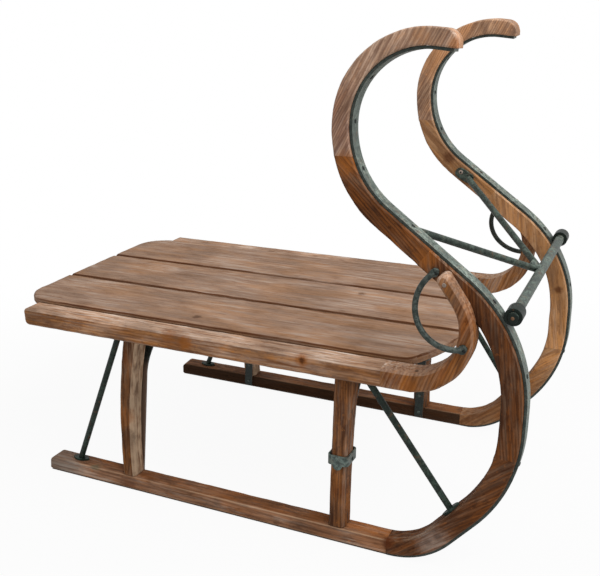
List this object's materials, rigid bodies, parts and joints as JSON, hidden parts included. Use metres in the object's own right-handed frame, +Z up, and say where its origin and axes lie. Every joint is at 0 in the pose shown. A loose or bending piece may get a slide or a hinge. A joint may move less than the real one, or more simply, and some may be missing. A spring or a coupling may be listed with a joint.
{
  "type": "wooden sled",
  "caption": "Wooden sled with a slatted seat on tall curved runners that rise into horns, with iron shoes, stays, side handles and a cross bar for towing.",
  "frame": {"origin": "on the floor, under the middle of the sled's overall length and width", "axes": "+X forward, towards the horns' tips and the tow bar, +Y to the sled's left, +Z up"},
  "size_m": [0.7405, 0.4352, 0.6478],
  "materials": {
    "runner_wood": "brushed and lime-washed softwood, worn on the edges",
    "rail_wood": "brushed and lime-washed softwood with knots",
    "board_wood": "brushed and lime-washed softwood boards",
    "bench_wood": "sawn softwood, brown wash",
    "leg_wood": "split softwood, brown wash",
    "strip_iron": "flat forged iron with a dull green-grey patina",
    "rod_iron": "round forged iron with a dull green-grey patina"
  },
  "bodies": {
    "root": {"runner_sole_right": "runner_wood", "runner_sole_left": "runner_wood", "runner_toe_right": "runner_wood", "runner_toe_left": "runner_wood", "runner_bow_right": "runner_wood", "runner_bow_left": "runner_wood", "runner_neck_right": "runner_wood", "runner_neck_left": "runner_wood", "runner_horn_right": "runner_wood", "runner_horn_left": "runner_wood", "seat_rail_right": "rail_wood", "seat_rail_left": "rail_wood", "seat_board_right": "board_wood", "seat_board_middle": "board_wood", "seat_board_left": "board_wood", "front_bench": "bench_wood", "rear_bench": "bench_wood", "front_leg_right": "leg_wood", "front_leg_left": "leg_wood", "rear_leg_right": "leg_wood", "rear_leg_left": "leg_wood", "runner_shoe_right": "strip_iron", "runner_shoe_left": "strip_iron", "runner_iron_right": "strip_iron", "runner_iron_left": "strip_iron", "front_strap_right": "strip_iron", "front_strap_left": "strip_iron", "rear_strap_right": "strip_iron", "rear_strap_left": "strip_iron", "leg_band_right": "strip_iron", "leg_band_left": "strip_iron", "front_stay_right": "rod_iron", "front_stay_left": "rod_iron", "rear_stay_right": "rod_iron", "rear_stay_left": "rod_iron", "tow_bar": "rod_iron", "brace_stub": "rod_iron", "bar_eye_right": "rod_iron", "bar_eye_left": "rod_iron", "tow_brace_right": "rod_iron", "tow_brace_left": "rod_iron", "side_handle_right": "rod_iron", "side_handle_left": "rod_iron"}
  },
  "joints": []
}
